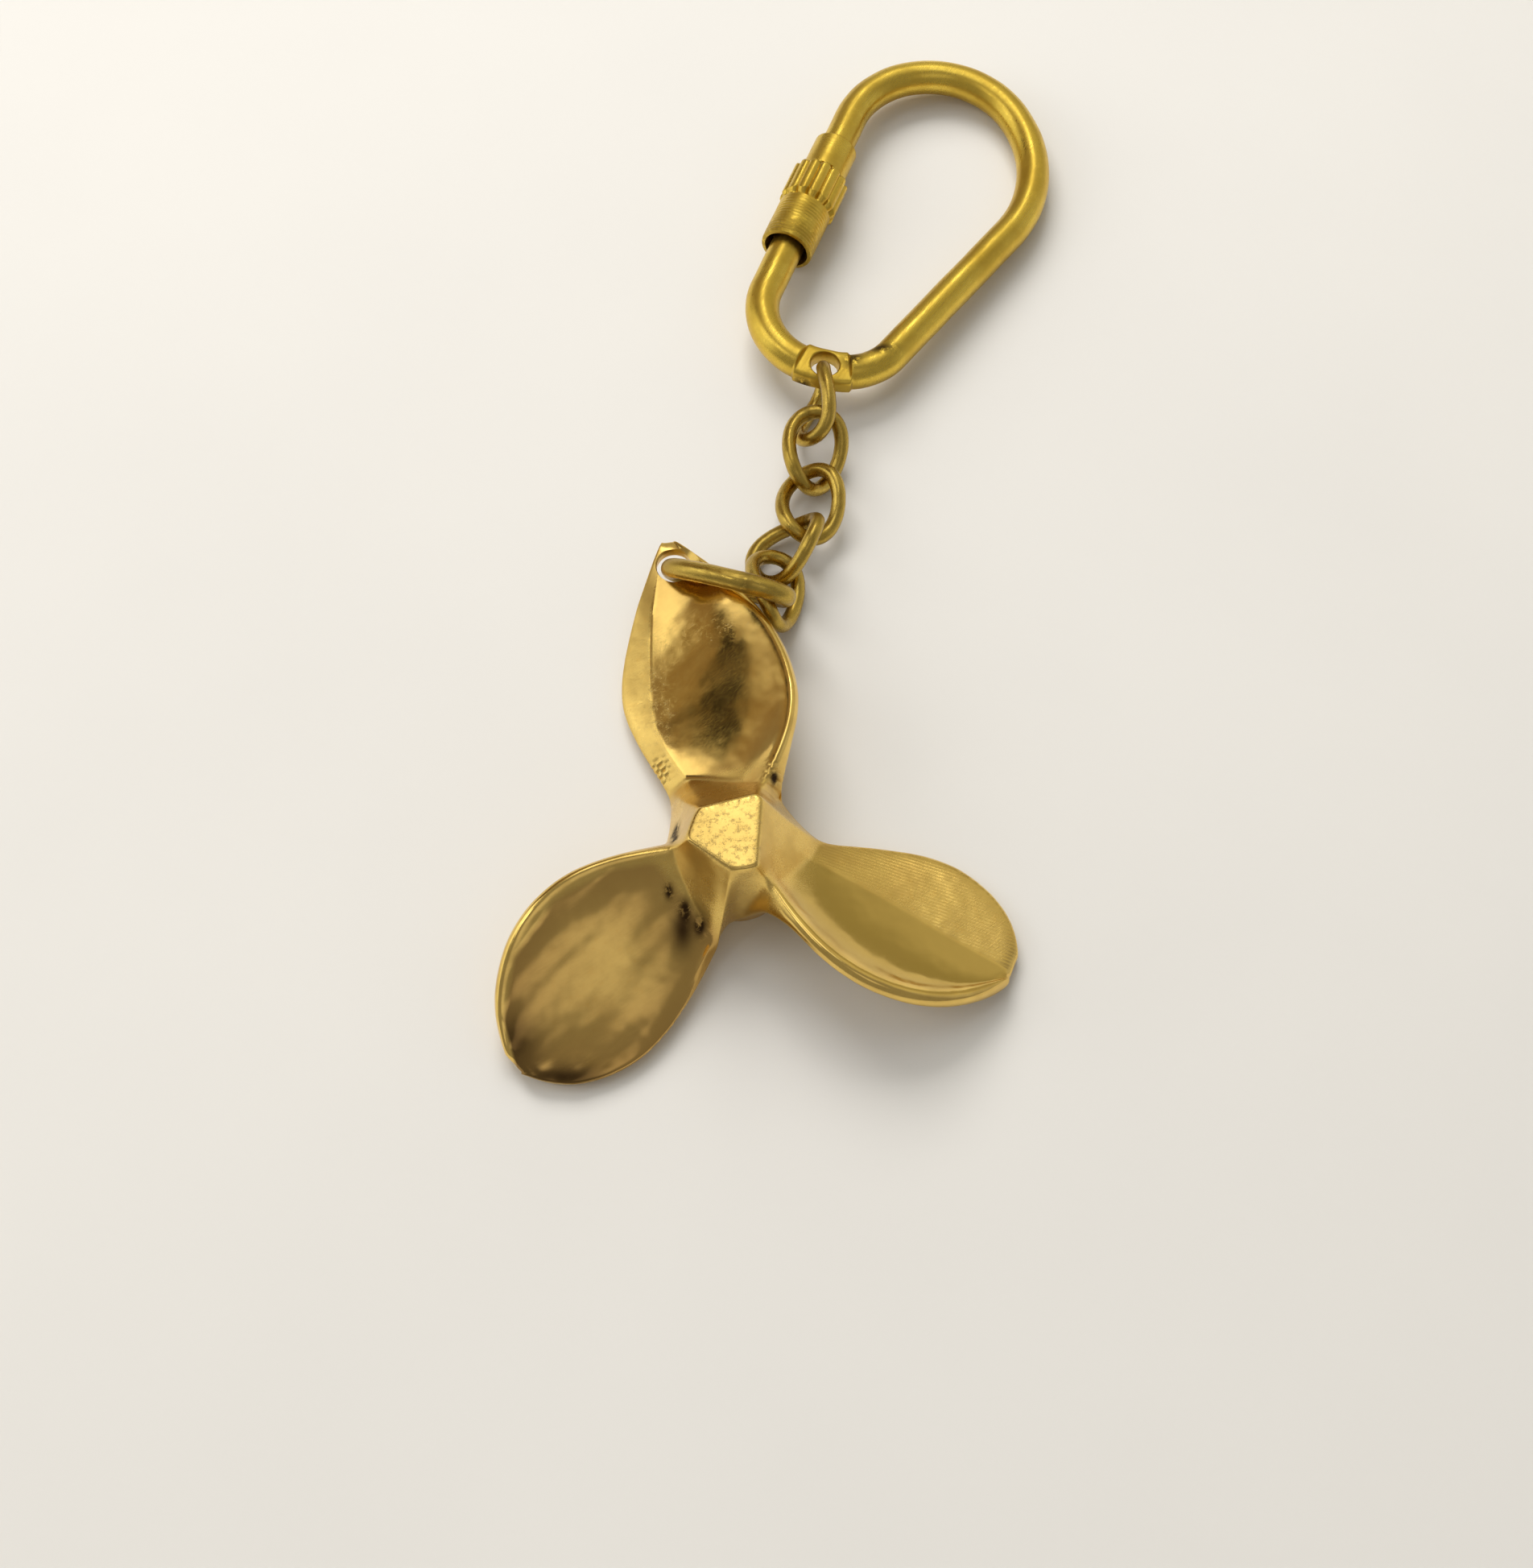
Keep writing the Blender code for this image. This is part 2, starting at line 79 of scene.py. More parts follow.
# How far along its side of the top face each column of a blade meets it
HUB_TOP_SHARES = (0.0, 0.08, 0.2, 0.38, 0.55, 0.72, 0.85, 0.94, 1.0)
# Foot of the hub between two blades: after blade "a" anticlockwise comes "b", then "c"
HUB_NOTCHES = {"a": (-5.9, 2.3), "b": (-0.2, -5.0), "c": (4.6, 5.0)}
NEXT_BLADE = {"a": "b", "b": "c", "c": "a"}

# Blade lines in the blade's own axes: outwards, anticlockwise, up
RAISED_EDGE = [
    (4.3, -3.1, 7.9),
    (8.9, -6.4, 7.9),
    (13.8, -8.0, 7.4),
    (19.0, -7.4, 5.6),
    (22.9, -4.9, 3.4),
    (24.7, -1.9, 1.9),
]
LOW_EDGE = [
    (6.3, 4.3, 1.6),
    (11.4, 5.8, 1.2),
    (16.5, 6.4, 1.2),
    (20.8, 5.1, 1.2),
    (23.7, 2.7, 1.25),
    (24.8, 0.2, 1.4),
]
LUG_RAISED_EDGE = [
    (4.1, -3.5, 7.9),
    (8.6, -6.7, 7.9),
    (12.8, -7.9, 7.6),
    (19.0, -7.4, 6.2),
    (25.2, -4.9, 4.6),
    (30.9, -0.9, 3.5),
]
LUG_LOW_EDGE = [
    (7.1, 4.4, 1.6),
    (11.8, 5.9, 1.3),
    (17.0, 6.9, 1.3),
    (23.3, 4.7, 2.2),
    (27.4, 2.4, 3.2),
    (31.0, 0.2, 3.5),
]
BLADES = {
    "a": {
        "azimuth": 102.0,
        "lug": True,
        "raised": LUG_RAISED_EDGE,
        "low": LUG_LOW_EDGE,
        "crease": [(7.9, 2.5, 3.0), (12.3, 4.1, 2.6), (16.0, 4.0, 2.4), (23.0, 2.7, 3.0), (30.9, 0.0, 3.5)],
    },
    "b": {
        "azimuth": 226.5,
        "raised": RAISED_EDGE,
        "low": LOW_EDGE,
        "crease": [(6.6, 3.4, 3.0), (10.6, 4.4, 2.6), (16.2, 4.1, 1.9), (21.3, 3.2, 1.5), (24.7, 0.0, 1.5)],
    },
    "c": {
        "azimuth": -19.0,
        "raised": RAISED_EDGE,
        "low": LOW_EDGE,
        "crease": [(6.0, 1.9, 3.0), (12.5, 0.9, 2.4), (19.0, -0.5, 1.9), (24.7, -1.6, 1.6)],
    },
}
# Middle of the blade hole in the blade's own axes: outwards, anticlockwise
HOLE_PLACE = (28.1, -0.35)

# Jump ring and chain links. A pose is the piece's centre and its turns about X, Y and Z in degrees.
JUMP_RING_WIRE = 1.85
JUMP_RING_SIZE = (12.85, 7.60)
JUMP_RING_POSE = ((-0.72, 25.63, 3.77), (112.0, -13.1, -21.7))

# Thickness that the wires are drawn with, as a share of the wires in the CAD parts
WIRE_SHARE = 0.985
KEY_RING_WIRE_SHARE = 0.995

LINK_WIRE = 1.35
LINK_SIZE = (8.70, 6.39)
LINK_TWIST = -0.6
LINKS = {
    "link_5": ((3.42, 25.86, 2.31), (138.3, -11.8, -90.0)),
    "link_4": ((4.49, 30.07, 2.13), (28.5, 22.7, -142.3)),
    "link_3": ((6.61, 34.79, 2.07), (0.3, -3.3, -98.0)),
    "link_2": ((7.01, 40.13, 2.53), (-23.6, 12.8, -97.9)),
    "link_1": ((7.32, 44.63, 3.02), (-111.6, -0.3, -100.1)),
}

# Key ring: a wire bent in its plane, from the sleeve's leg round the far end, past the eye and back.
# Bends are straight lengths and (angle in degrees, radius).
KEY_RING_WIRE = 3.2
KEY_RING_HEADING = 68.4
KEY_RING_BENDS = [13.02, (127.6, 8.87), (69.5, 13.12), 18.35, (64.0, 5.72), 1.2, (98.65, 6.61), 6.89]
KEY_RING_EYE = (8.0, 48.6, 3.0)
KEY_RING_LOW_WAY = 9.3
KEY_RING_DIP = 3.2
EYE_HOLE_DIAMETER = 2.7
EYE_THICKNESS = 1.9
EYE_WIDTH = 3.7
EYE_LENGTH = 4.4

SLEEVE_LENGTH = 13.4
SLEEVE_STEPS = (5.2, 9.2)
SLEEVE_DIAMETERS = (5.1, 5.6, 4.3)
SLEEVE_BORES = (4.3, 3.7)
SLEEVE_BELOW_GATE = 2.0
GATE_GAP = 2.5

HOLE_LOW = 2.45
HOLE_HIGH = 3.35
FILE_PITCH = 0.55
FILE_DEPTH = 0.12
FILE_MARK_SIZE = (1.1, 1.3, 1.6)
FILE_MARKS = [(-6.5, 8.3, 1.8), (3.3, 5.5, 7.2)]
# Blades with waves left by polishing, and how strong the waves are
STREAKED_BLADES = [("a", 0.45), ("b", 1.0)]
STREAK_HEIGHT = 0.09
# How far out each blade's face begins, and how far to each side it may reach
FACE_START = {"a": 6.5, "b": 5.5, "c": 5.2}
FACE_REACH = 9.0
# How sharp the crease along each blade is, from 0 to 1
BLADE_CREASES = {"a": 1.0, "b": 0.1, "c": 1.0}
# Marks painted on the casting, each a place and a size: stains, black tarnish, and painted dark patches on
# blade b
STAINED_PLACES = [((-2.4, 21.0, 5.0), (4.0, 2.0, 3.0)), ((-6.5, 14.0, 2.0), (2.0, 5.0, 2.0))]
TARNISHED_PLACES = [
    ((-4.9, 1.4, 5.2), (0.45, 0.9, 1.2)),
    ((-4.8, 0.0, 6.6), (0.35, 0.7, 1.0)),
    ((-5.3, -3.9, 5.2), (0.35, 0.6, 0.9)),
    ((-4.0, -5.3, 4.3), (0.45, 1.0, 1.2)),
    ((-2.8, -6.3, 3.6), (0.5, 0.8, 1.0)),
    ((3.3, 5.4, 7.1), (0.35, 0.5, 0.8)),
]
# Painted dark on blade b: the first two patches are a painted dark reflection along its outer lower corner,
# the last darkens its face by the root
PAINTED_DARK_PLACES = [
    ((-17.6, -15.8, 2.5), (1.9, 2.3, 3.0)),
    ((-13.6, -18.4, 2.0), (3.6, 1.0, 3.0)),
    ((-4.2, -6.6, 3.6), (1.0, 2.0, 2.0)),
]
RING_TARNISH = [
    ((10.6, 48.9, 4.2), (0.9, 0.8, 1.0)),
    ((13.2, 50.2, 4.2), (1.4, 0.6, 1.0)),
    ((6.0, 47.2, 2.6), (0.9, 0.7, 0.9)),
]
# Where round each ring its soldered seam is, in degrees
JUMP_RING_SEAM = 60.0
LINK_SEAM = 205.0
THREAD_LENGTH = 3.6
THREAD_PITCH = 0.5
THREAD_DEPTH = 0.16
STUD_DIAMETER = 2.9
FLUTES = 14
SIDES_TO_A_FLUTE = 14
FLUTE_DEPTH = 0.24
TURNED_PITCH = 0.36
TURNED_DEPTH = 0.05

FLOOR_Z = -0.05
FLOOR_SIZE = 3000.0
CAMERA_ELEVATION = 66.0
CAMERA_PLACE = (2.65, -66.7, 167.8)
CAMERA_LENS = 49.09
# Light from the room, one patch laid over the next: direction, degrees within which it is full, degrees
# beyond which it is gone, colour
ROOM_BASE = (0.30, 0.285, 0.26)
ROOM_LIGHT = [
    ((0.9, 0.3, 0.1), 15.0, 45.0, (0.55, 0.54, 0.52)),
    ((0.3, 0.8, 0.5), 16.0, 45.0, (0.60, 0.57, 0.45)),
    ((0.5, 0.86, 0.03), 10.0, 28.0, (0.40, 0.37, 0.25)),
    ((-0.6, 0.55, 0.55), 14.0, 36.0, (0.30, 0.22, 0.14)),
    ((-0.95, 0.1, 0.35), 12.0, 30.0, (1.1, 1.1, 1.05)),
    ((-0.72, 0.16, 0.68), 9.0, 15.0, (1.7, 1.7, 1.65)),
    ((-0.05, 0.36, 0.93), 9.0, 19.0, (1.55, 1.55, 1.5)),
    ((0.15, -0.45, 0.88), 5.0, 18.0, (0.66, 0.63, 0.62)),
    ((-0.63, 0.49, 0.60), 4.0, 11.0, (0.03, 0.025, 0.02)),
    ((0.02, 0.66, 0.75), 3.0, 8.0, (4.5, 4.4, 4.2)),
    ((-0.5, -0.1, 0.86), 3.0, 8.0, (3.0, 2.95, 2.8)),
]


# Meshes


def mesh_object(name, points, faces, material):
    """A smooth-shaded object from points in millimetres, in the frame's own axes."""
    mesh = bpy.data.meshes.new(name)
    mesh.from_pydata([Vector(p) * MM for p in points], [], faces)
    mesh.validate()
    mesh.materials.append(material)
    mesh.shade_smooth()
    obj = bpy.data.objects.new(name, mesh)
    bpy.context.scene.collection.objects.link(obj)
    return obj


def applied(obj):
    """The object with its modifiers turned into plain mesh."""
    graph = bpy.context.evaluated_depsgraph_get()
    made = bpy.data.meshes.new_from_object(obj.evaluated_get(graph))
    obj.modifiers.clear()
    obj.data = made
    return obj


def cut(obj, cutter):
    modifier = obj.modifiers.new("cut", "BOOLEAN")
    modifier.operation = "DIFFERENCE"
    modifier.solver = "EXACT"
    modifier.object = cutter
    applied(obj)
    bpy.data.objects.remove(cutter)


def coordinates(obj):
    """The mesh's points in millimetres, and its normals."""
    count = len(obj.data.vertices)
    points, normals = np.empty(count * 3), np.empty(count * 3)
    obj.data.vertices.foreach_get("co", points)
    obj.data.vertices.foreach_get("normal", normals)
    return points.reshape(-1, 3) / MM, normals.reshape(-1, 3)


def move_points(obj, points):
    obj.data.vertices.foreach_set("co", (points * MM).ravel())
    obj.data.update()


def roughen(obj, amount, size, seed):
    """Moves the surface in and out by soft noise, as on anything cast or bent by hand."""
    points, normals = coordinates(obj)
    shift = Vector((seed, seed * 1.7, -seed))
    depth = np.array([noise.noise(Vector(p) / size + shift) for p in points])
    move_points(obj, points + amount * depth[:, None] * normals)


def paint(obj, name, values):
    """Stores a mask on the mesh's points for the material to read."""
    attribute = obj.data.attributes.new(name, "FLOAT", "POINT")
    attribute.data.foreach_set("value", np.clip(values, 0.0, 1.0))


def bump_at(points, centre, size):
    """1 at the centre, falling smoothly to 0 at a distance of about twice the size."""
    offset = (points - np.array(centre)) / np.array(size)
    return np.exp(-(offset**2).sum(axis=1))


def turned(profile, sides, axis_start, axis, radius_change=None):
    """A closed ring-like solid turned from a profile of (distance along the axis, radius)."""
    across = axis.cross(Vector((0.0, 0.0, 1.0))).normalized()
    up = across.cross(axis)
    points, faces = [], []
    for side in range(sides):
        turn = 2 * math.pi * side / sides
        outwards = math.cos(turn) * across + math.sin(turn) * up
        for along, radius in profile:
            if radius_change:
                radius += radius_change(along, radius, turn)
            points.append(axis_start + axis * along + outwards * radius)
    for side in range(sides):
        here, there = side * len(profile), (side + 1) % sides * len(profile)
        for k in range(len(profile)):
            after = (k + 1) % len(profile)
            faces.append((here + k, here + after, there + after, there + k))
    return points, faces


def chamfer_drill(centre, diameter, low, high, chamfer, axis=Vector((0.0, 0.0, 1.0))):
    """A cutter for a hole whose two mouths, at heights low and high, are broken by a chamfer."""
    radius = diameter / 2
    steps = [
        (low - 3.0, radius + chamfer + 3.0),
        (low + chamfer, radius),
        (high - chamfer, radius),
        (high + 3.0, radius + chamfer + 3.0),
    ]
    points, faces = [], []
    sides = 64
    across = Vector((1.0, 0.0, 0.0))
    up = axis.cross(across).normalized()
    across = up.cross(axis)
    for height, reach in steps:
        for side in range(sides):
            turn = 2 * math.pi * side / sides
            outwards = across * math.cos(turn) + up * math.sin(turn)
            points.append(Vector(centre) + axis * height + outwards * reach)
    for k in range(len(steps) - 1):
        for side in range(sides):
            after = (side + 1) % sides
            here, there = k * sides, (k + 1) * sides
            faces.append((here + side, here + after, there + after, there + side))
    faces.append(tuple(reversed(range(sides))))
    faces.append(tuple(range((len(steps) - 1) * sides, len(steps) * sides)))
    return mesh_object("drill", points, faces, None)


def curve_through(points, count):
    """Evenly spaced points on a Catmull-Rom curve through the given ones."""
    knots = np.array(points, float)
    knots = np.vstack([2 * knots[0] - knots[1], knots, 2 * knots[-1] - knots[-2]])
    fine = []
    for k in range(1, len(knots) - 2):
        p0, p1, p2, p3 = knots[k - 1 : k + 3]
        for t in np.linspace(0.0, 1.0, 24, endpoint=False):
            fine.append(
                p1
                + 0.5 * t * (p2 - p0)
                + t * t * (p0 - 2.5 * p1 + 2 * p2 - 0.5 * p3)
                + t**3 * (1.5 * p1 - 0.5 * p0 - 1.5 * p2 + 0.5 * p3)
            )
    fine.append(knots[-2])
    fine = np.array(fine)
    along = np.r_[0.0, np.cumsum(np.linalg.norm(np.diff(fine, axis=0), axis=1))]
    wanted = np.linspace(0.0, along[-1], count)
    return np.stack([np.interp(wanted, along, fine[:, k]) for k in range(3)], axis=1)


def tube(centres, width, height, sides, normal, closed, roundness=1.0):
    """Points and faces of a wire with an elliptical section, swept along its centre line. normal gives the
    direction of the section's height. Width, height and roundness (1 for an ellipse, less for a section
    with flatter sides) are numbers, or one number for each centre."""
    centres = np.array(centres, float)
    count = len(centres)
    width = np.broadcast_to(width, count)
    height = np.broadcast_to(height, count)
    roundness = np.broadcast_to(roundness, count)
    if closed:
        tangents = np.roll(centres, -1, axis=0) - np.roll(centres, 1, axis=0)
    else:
        tangents = np.gradient(centres, axis=0)
    tangents /= np.linalg.norm(tangents, axis=1)[:, None]
    across = np.cross(np.broadcast_to(normal, tangents.shape), tangents)
    across /= np.linalg.norm(across, axis=1)[:, None]
    up = np.cross(tangents, across)
    points = []
    for k in range(count):
        for side in range(sides):
            turn = 2 * math.pi * (side + 0.5) / sides
            out, rise = math.cos(turn), math.sin(turn)
            out = math.copysign(abs(out) ** roundness[k], out)
            rise = math.copysign(abs(rise) ** roundness[k], rise)
            points.append(centres[k] + 0.5 * width[k] * out * across[k] + 0.5 * height[k] * rise * up[k])
    faces = []
    for k in range(count if closed else count - 1):
        here, there = k * sides, (k + 1) % count * sides
        for side in range(sides):
            after = (side + 1) % sides
            faces.append((here + side, here + after, there + after, there + side))
    if not closed:
        faces.append(tuple(reversed(range(sides))))
        faces.append(tuple(range((count - 1) * sides, count * sides)))
    return points, faces


# Propeller


def blade_section(raised, crease, low):
    """Top points across the blade at one station, from its raised edge to its low edge, and the normal of the
    face or facet at each.
    """
    face = crease - raised
    face_normal = np.cross([1.0, 0.0, 0.0], face)
    face_normal /= np.linalg.norm(face_normal)
    facet = low - crease
    facet_normal = np.cross([1.0, 0.0, 0.0], facet)
    facet_normal /= np.linalg.norm(facet_normal)
    rim_share = min(0.3, RIM_WIDTH / np.linalg.norm(face))
    hollow = HOLLOW_DEPTH * min(1.0, np.linalg.norm(face) / 9.0)
    top, normals = [], []
    for share, depth in (
        (0.0, 0.25),
        (0.4 * rim_share, 0.0),
        (rim_share, 0.15),
        (0.35, hollow),
        (0.68, 0.8 * hollow),
        (1.0, 0.0),
    ):
        top.append(raised + share * face - depth * face_normal)
        normals.append(face_normal)
    for share, depth in ((0.5, 0.0), (0.85, 0.0), (1.0, 0.2)):
        top.append(crease + share * facet - depth * facet_normal)
        normals.append(facet_normal)
    return np.array(top), np.array(normals)


def blade_rows(blade):
    """Rows of top points and bottom points from the blade's root to its tip, in the propeller's axes."""
    raised = curve_through(blade["raised"], BLADE_STATIONS)
    crease = curve_through(blade["crease"], BLADE_STATIONS)
    low = curve_through(blade["low"], BLADE_STATIONS)
    turn = math.radians(blade["azimuth"])
    axes = np.array([[math.cos(turn), math.sin(turn), 0], [-math.sin(turn), math.cos(turn), 0], [0, 0, 1]])
    rows = []
    for station in range(BLADE_STATIONS):
        top, normals = blade_section(raised[station], crease[station], low[station])
        thickness = BLADE_THICKNESS
        if station == 0:
            thickness = ROOT_THICKNESS
        elif "lug" in blade and station >= BLADE_STATIONS - LUG_STATIONS:
            thickness = LUG_THICKNESS
        bottom = top - thickness * normals
        bottom[0] += 0.35 * normals[0]
        bottom[:, 2] = np.maximum(bottom[:, 2], LOWEST_BLADE_Z)
        rows.append((top @ axes, bottom @ axes))
    return rows


def lerp(a, b, share):
    return np.asarray(a, float) + share * (np.asarray(b, float) - np.asarray(a, float))


def hub_ring(rows):
    """The ring of points at the blade roots and in the notches between them, anticlockwise from blade a."""
    ring = []
    for name in "abc":
        top, bottom = rows[name][0]
        after = rows[NEXT_BLADE[name]][0]
        notch = HUB_NOTCHES[name]
        ring += [("blade", name, j, top[j], bottom[j]) for j in range(len(top))]
        foot_top = np.array([*notch, NOTCH_Z])
        foot_bottom = np.array([*lerp(notch, (0.0, 0.0), NOTCH_UNDERCUT), LOWEST_BLADE_Z])
        ring.append(("notch", name, 0, foot_top, foot_bottom))
        rise_top = lerp(foot_top, after[0][0], 0.55)
        rise_bottom = lerp(foot_bottom, after[1][0], 0.5)
        ring.append(("notch", name, 1, rise_top, rise_bottom))
    return ring


def hub_top_point(entry):
    """Where a point of the hub ring meets the hub's top face."""
    kind, name, j = entry[:3]
    if kind == "blade":
        start, end = HUB_TOP_FACES[name]
        across = lerp(start, end, HUB_TOP_SHARES[j])
    else:
        start = HUB_TOP_FACES[name][1]
        end = HUB_TOP_FACES[NEXT_BLADE[name]][0]
        across = lerp(start, end, (1 + j) / 3.0) * HUB_TOP_BULGE
    return np.array([*across, HUB_TOP_Z])


def hub_foot_point(entry):
    bottom = entry[4]
    angle = math.atan2(bottom[1], bottom[0])
    return np.array([HUB_FOOT_RADIUS * math.cos(angle), HUB_FOOT_RADIUS * math.sin(angle), 0.0])


def propeller_cage(material):
    """The coarse cage whose subdivision gives the casting its shape, with creases where it has edges."""
    rows = {name: blade_rows(blade) for name, blade in BLADES.items()}
    ring = hub_ring(rows)
    size = len(ring)
    points, faces, creases = [], [], []

    def add_ring(made):
        points.extend(made)
        return list(range(len(points) - len(made), len(points)))

    def bridge(inner, outer):
        for k in range(size):
            after = (k + 1) % size
            faces.append((inner[k], outer[k], outer[after], inner[after]))

    def crease_loop(loop, weight):
        creases.extend((loop[k], loop[(k + 1) % len(loop)], weight) for k in range(len(loop)))

    tops = [hub_top_point(entry) for entry in ring]
    centre = np.mean(tops, axis=0)
    cap = add_ring([lerp(p, centre, HUB_CAP_INSET) for p in tops])
    brow = add_ring([p - np.array([0.0, 0.0, HUB_BROW_DROP]) for p in tops])
    drop = np.array([0.0, 0.0, HUB_NECK_DROP])
    neck = add_ring([lerp(p, entry[3], 0.5) - drop for p, entry in zip(tops, ring)])
    root_top = add_ring([entry[3] for entry in ring])
    root_bottom = add_ring([entry[4] for entry in ring])
    feet = [hub_foot_point(entry) for entry in ring]
    narrowing = (HUB_WAIST, HUB_WAIST, 1.0)
    waist = add_ring([lerp(foot, entry[4], 0.5) * narrowing for foot, entry in zip(feet, ring)])
    foot = add_ring(feet)
    faces.append(tuple(cap))
    bridge(cap, brow)
    bridge(brow, neck)
    bridge(neck, root_top)
    bridge(root_bottom, waist)
    bridge(waist, foot)
    faces.append(tuple(reversed(foot)))
    crease_loop(brow, HUB_BROW_CREASE)
    crease_loop(foot, 1.0)

    first = {name: next(k for k, e in enumerate(ring) if e[:3] == ("blade", name, 0)) for name in "abc"}
    for name in "abc":
        columns = len(rows[name][0][0])
        start = first[name]
        upper = [root_top[start : start + columns]]
        lower = [root_bottom[start : start + columns]]
        for top, bottom in rows[name][1:]:
            upper.append(add_ring(list(top)))
            lower.append(add_ring(list(bottom)))
        for near in range(len(upper) - 1):
            here, there = upper[near], upper[near + 1]
            below, beyond = lower[near], lower[near + 1]
            for j in range(columns - 1):
                faces.append((here[j], there[j], there[j + 1], here[j + 1]))
                faces.append((below[j], below[j + 1], beyond[j + 1], beyond[j]))
            for j, way in ((0, 1), (columns - 1, -1)):
                side = (here[j], below[j], beyond[j], there[j])
                faces.append(side[::way])
            creases.append((here[CREASE_COLUMN], there[CREASE_COLUMN], BLADE_CREASES[name]))
        for j in range(columns - 1):
            faces.append((upper[-1][j], lower[-1][j], lower[-1][j + 1], upper[-1][j + 1]))
            creases.append((upper[0][j], upper[0][j + 1], ROOT_CREASE))
    for name in "abc":
        k = first[name] + len(rows[name][0][0]) - 1
        for step in range(3):
            here, after = (k + step) % size, (k + step + 1) % size
            faces.append((root_top[here], root_bottom[here], root_bottom[after], root_top[after]))

    obj = mesh_object("propeller_casting", points, faces, material)
    weights = {tuple(sorted((a, b))): weight for a, b, weight in creases}
    attribute = obj.data.attributes.new("crease_edge", "FLOAT", "EDGE")
    for edge in obj.data.edges:
        attribute.data[edge.index].value = weights.get(tuple(sorted(edge.vertices)), 0.0)
    return obj


def oval(length, width, twist, count):
    """Centre line of a link: an oval whose ends are twisted opposite ways about its long axis."""
    turns = 2 * math.pi * np.arange(count) / count
    along = length / 2 * np.cos(turns)
    across = width / 2 * np.sin(turns)
    return np.stack([along, across, twist * np.sin(2 * turns)], axis=1)


def bent_wire(heading, bends, where):
    """Points along a wire bent in its plane. bends lists straight lengths and (angle, radius)."""
    points = []
    for wanted in where:
        place, angle, left = np.zeros(2), math.radians(heading), wanted
        for bend in bends:
            if isinstance(bend, tuple):
                turn, radius = math.radians(bend[0]), bend[1]
                part = min(left, turn * radius)
                centre = place + radius * np.array([math.sin(angle), -math.cos(angle)])
                angle -= part / radius
                place = centre + radius * np.array([-math.sin(angle), math.cos(angle)])
            else:
                part = min(left, bend)
                place = place + part * np.array([math.cos(angle), math.sin(angle)])
            left -= part
        points.append([*place, 0.0])
    return np.array(points)


def bent_length(bends):
    return sum(math.radians(bend[0]) * bend[1] if isinstance(bend, tuple) else bend for bend in bends)


def key_ring_plane():
    """Puts the plane that the wire is bent in through the eye, dipping a little to one side."""
    low_way = math.radians(KEY_RING_LOW_WAY)
    axis = Vector((-math.sin(low_way), math.cos(low_way), 0.0))
    return Matrix.Translation(Vector(KEY_RING_EYE)) @ Matrix.Rotation(math.radians(KEY_RING_DIP), 4, axis)


# Materials


class Nodes:
    """Short ways to add and join shader nodes. Positions are read in millimetres of the frame."""

    def __init__(self, name):
        self.material = bpy.data.materials.new(name)
        self.material.use_nodes = True
        self.tree = self.material.node_tree
        self.shader = self.tree.nodes["Principled BSDF"]
        self.place = self.tree.nodes.new("ShaderNodeTexCoord").outputs["Object"]

    def add(self, kind, **values):
        node = self.tree.nodes.new("ShaderNode" + kind)
        for key, value in values.items():
            setattr(node, key, value)
        return node

    def link(self, output, socket):
        self.tree.links.new(output, socket)

    def scaled(self, scale, turn=(0.0, 0.0, 0.0)):
        """Positions in steps of 1 mm, turned and stretched."""
        mapping = self.add("Mapping", vector_type="TEXTURE")
        mapping.inputs["Rotation"].default_value = [math.radians(t) for t in turn]
        mapping.inputs["Scale"].default_value = [MM / s for s in scale]
        self.link(self.place, mapping.inputs["Vector"])
        return mapping.outputs["Vector"]

    def noise(self, scale, detail=4.0, rough=0.55, turn=(0.0, 0.0, 0.0)):
        scale = scale if isinstance(scale, tuple) else (scale, scale, scale)
        node = self.add("TexNoise")
        node.inputs["Scale"].default_value = 1.0
        node.inputs["Detail"].default_value = detail
        node.inputs["Roughness"].default_value = rough
        self.link(self.scaled(scale, turn), node.inputs["Vector"])
        return node.outputs["Fac"]

    def ripples(self, pitch, turn):
        """Fine parallel ridges, one each pitch, crossing the direction turned so far from +X."""
        node = self.add("TexWave", bands_direction="X")
        node.inputs["Scale"].default_value = ONE_WAVE
        node.inputs["Distortion"].default_value = 1.2
        node.inputs["Detail Scale"].default_value = 0.4
        self.link(self.scaled((1 / pitch, 1 / pitch, 1 / pitch), (0, 0, turn)), node.inputs["Vector"])
        return node.outputs["Fac"]

    def range(self, value, low, high, to_low=0.0, to_high=1.0):
        node = self.add("MapRange", interpolation_type="SMOOTHSTEP")
        for socket, number in zip(("From Min", "From Max", "To Min", "To Max"), (low, high, to_low, to_high)):
            node.inputs[socket].default_value = number
        self.link(value, node.inputs["Value"])
        return node.outputs["Result"]

    def maths(self, operation, first, second):
        node = self.add("Math", operation=operation)
        for socket, value in zip(node.inputs, (first, second)):
            if isinstance(value, float):
                socket.default_value = value
            else:
                self.link(value, socket)
        return node.outputs["Value"]

    def mask(self, name):
        return self.add("Attribute", attribute_name=name).outputs["Fac"]

    def mix(self, share, first, second):
        node = self.add("Mix", data_type="RGBA")
        self.link(share, node.inputs["Factor"])
        for socket, colour in zip((node.inputs[6], node.inputs[7]), (first, second)):
            if isinstance(colour, tuple):
                socket.default_value = (*colour, 1.0)
            else:
                self.link(colour, socket)
        return node.outputs[2]

    def bump(self, height, strength, distance, before=None):
        node = self.add("Bump")
        node.inputs["Strength"].default_value = strength
        node.inputs["Distance"].default_value = distance * MM
        self.link(height, node.inputs["Height"])
        if before is not None:
            self.link(before, node.inputs["Normal"])
        return node.outputs["Normal"]


# Scale at which Blender's wave texture repeats once in each unit of length
ONE_WAVE = 0.314
TARNISH = (0.055, 0.03, 0.012)
STAIN = (0.40, 0.30, 0.13)
